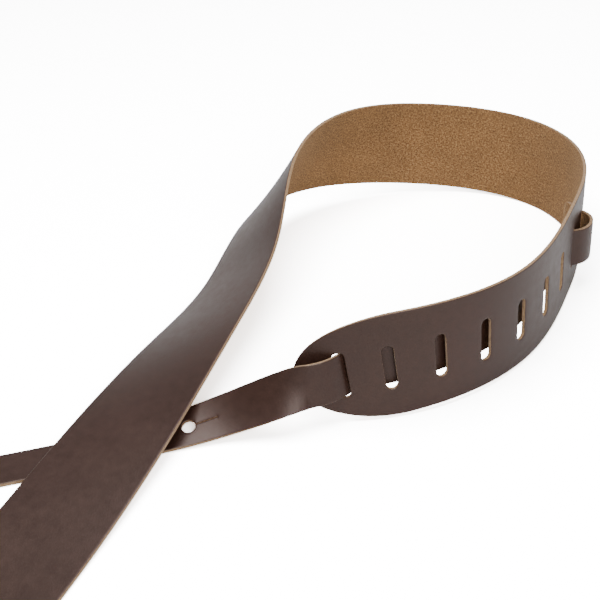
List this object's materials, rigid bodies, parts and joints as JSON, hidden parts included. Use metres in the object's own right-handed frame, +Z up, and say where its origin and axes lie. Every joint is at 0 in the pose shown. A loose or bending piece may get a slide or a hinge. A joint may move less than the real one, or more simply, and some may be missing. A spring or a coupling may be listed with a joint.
{
  "type": "guitar strap",
  "caption": "Adjustable single-ply leather guitar strap lying in an open loop: a wide strap with a slotted end, and a narrow tail laced through its slots, each with a button keyhole.",
  "frame": {"origin": "centre of the strap's outline as it lies, at the height of the table it lies on", "axes": "+Z up from the table, +X along the longest extent, towards the loop's slotted side; -Y towards the wide strap's keyhole end"},
  "size_m": [0.5116, 0.4691, 0.0785],
  "materials": {
    "strap_leather": "satin dyed grain side, raw suede back, raw cut edges",
    "tail_leather": "satin dyed grain side, raw suede back, raw cut edges"
  },
  "bodies": {
    "strap_loop": {"strap_slotted_end": "strap_leather", "strap_shoulder_loop": "strap_leather", "tail_threaded_end": "tail_leather"},
    "strap_run": {"strap_front_run": "strap_leather"},
    "strap_end": {"strap_keyhole_end": "strap_leather"},
    "tail": {"tail_free_run": "tail_leather"},
    "tail_end": {"tail_keyhole_end": "tail_leather"}
  },
  "joints": [
    {"name": "strap_lift", "type": "hinge", "parent": "strap_loop", "child": "strap_run", "pos_m": [0.00368, 0.05215, 0.02069], "axis": [-0.7936, 0.4126, -0.4472], "range_deg": [0, 60]},
    {"name": "front_end_flex", "type": "hinge", "parent": "strap_run", "child": "strap_end", "pos_m": [-0.09327, -0.15553, 0.0031], "axis": [-0.9057, 0.4239, 0.0013], "range_deg": [0, 80]},
    {"name": "tail_pull", "type": "slide", "parent": "strap_loop", "child": "tail", "axis": [-0.9784, -0.2066, 0], "range_m": [0, 0.008]},
    {"name": "tail_end_flex", "type": "hinge", "parent": "tail", "child": "tail_end", "pos_m": [-0.16766, -0.08514, 0.00278], "axis": [-0.2065, 0.9784, 0.0047], "range_deg": [0, 80]}
  ]
}
